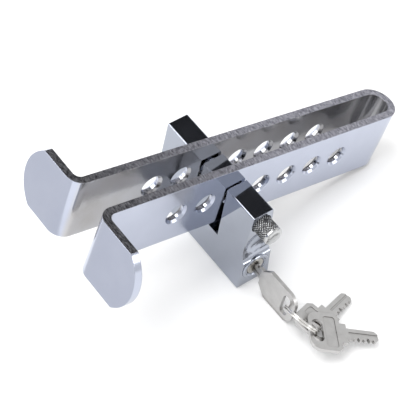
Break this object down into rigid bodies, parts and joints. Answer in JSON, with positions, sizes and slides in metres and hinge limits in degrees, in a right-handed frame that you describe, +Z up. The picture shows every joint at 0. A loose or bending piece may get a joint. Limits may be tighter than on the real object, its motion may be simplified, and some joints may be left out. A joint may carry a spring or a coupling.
{
  "type": "pedal lock",
  "caption": "U-shaped flat steel bar with holed legs and a keyed lock block that slides along it, with key, ring and spares.",
  "frame": {"origin": "centre of the lock block's foot, on the surface that the lock stands on", "axes": "+X along the bar from the tabs to the closed U end, +Y from the key face to the back, +Z up"},
  "size_m": [0.228, 0.1585, 0.0925],
  "materials": {
    "bar_chrome": "polished",
    "block_chrome": "polished",
    "knob_chrome": "knurled",
    "cylinder_nickel": "satin",
    "key_nickel": "satin",
    "ring_steel": "polished",
    "hardened_steel": "ground",
    "spring_steel": "drawn wire",
    "screw_steel": "black oxide",
    "wafer_brass": "stamped"
  },
  "bodies": {
    "lock": {"lock_body": "block_chrome", "cylinder_shell": "cylinder_nickel", "cylinder_bezel": "block_chrome", "shell_screw": "screw_steel", "pin_stop_screw": "screw_steel", "foot_plug": "screw_steel", "pin_spring": "spring_steel", "bolt_spring": "spring_steel"},
    "bar": {"u_bar": "bar_chrome"},
    "pin": {"lock_pin": "hardened_steel", "pull_knob": "knob_chrome", "knob_screw": "screw_steel"},
    "plug": {"cylinder_plug": "cylinder_nickel", "wafer_tumblers": "wafer_brass", "lock_cam": "hardened_steel", "cam_screw": "screw_steel"},
    "bolt": {"locking_bolt": "hardened_steel"},
    "key": {"inserted_key": "key_nickel"},
    "ring": {"key_ring": "ring_steel"},
    "spare_1": {"spare_key_1": "key_nickel"},
    "spare_2": {"spare_key_2": "key_nickel"}
  },
  "joints": [
    {"name": "bar_slide", "type": "slide", "parent": "lock", "child": "bar", "axis": [0.9712, 0, -0.2382], "range_m": [-0.0799, 0.0419]},
    {"name": "pin_push", "type": "slide", "parent": "lock", "child": "pin", "axis": [0, 1, 0], "range_m": [0, 0.0095], "stiffness_N_per_m": 500, "springref_m": -0.004, "deforming": ["pin_spring"]},
    {"name": "plug_turn", "type": "hinge", "parent": "lock", "child": "plug", "pos_m": [0, -0.03, 0.0133], "axis": [0, 1, 0], "range_deg": [0, 90]},
    {"name": "bolt_lift", "type": "slide", "parent": "lock", "child": "bolt", "axis": [0, 0, 1], "range_m": [0, 0.0014], "deforming": ["bolt_spring"]},
    {"name": "key_pull", "type": "slide", "parent": "plug", "child": "key", "axis": [0, -1, 0], "range_m": [-0.0035, 0.0125]},
    {"name": "ring_swing", "type": "hinge", "parent": "key", "child": "ring", "pos_m": [-0.00201, -0.0699, 0.01282], "axis": [-0.5637, -0.1574, 0.8109], "range_deg": [-5, 20]},
    {"name": "spare_1_swing", "type": "hinge", "parent": "ring", "child": "spare_1", "pos_m": [0.00451, -0.09084, 0.00873], "axis": [0.2176, -0.0396, 0.9752], "range_deg": [-10, 5]},
    {"name": "spare_2_swing", "type": "hinge", "parent": "ring", "child": "spare_2", "pos_m": [0.00255, -0.09203, 0.0117], "axis": [0.2176, -0.0396, 0.9752], "range_deg": [-10, 10]}
  ],
  "couplings": [
    {"joint": "bolt_lift", "follows": "plug_turn", "m_per_rad": 0.00089118}
  ]
}
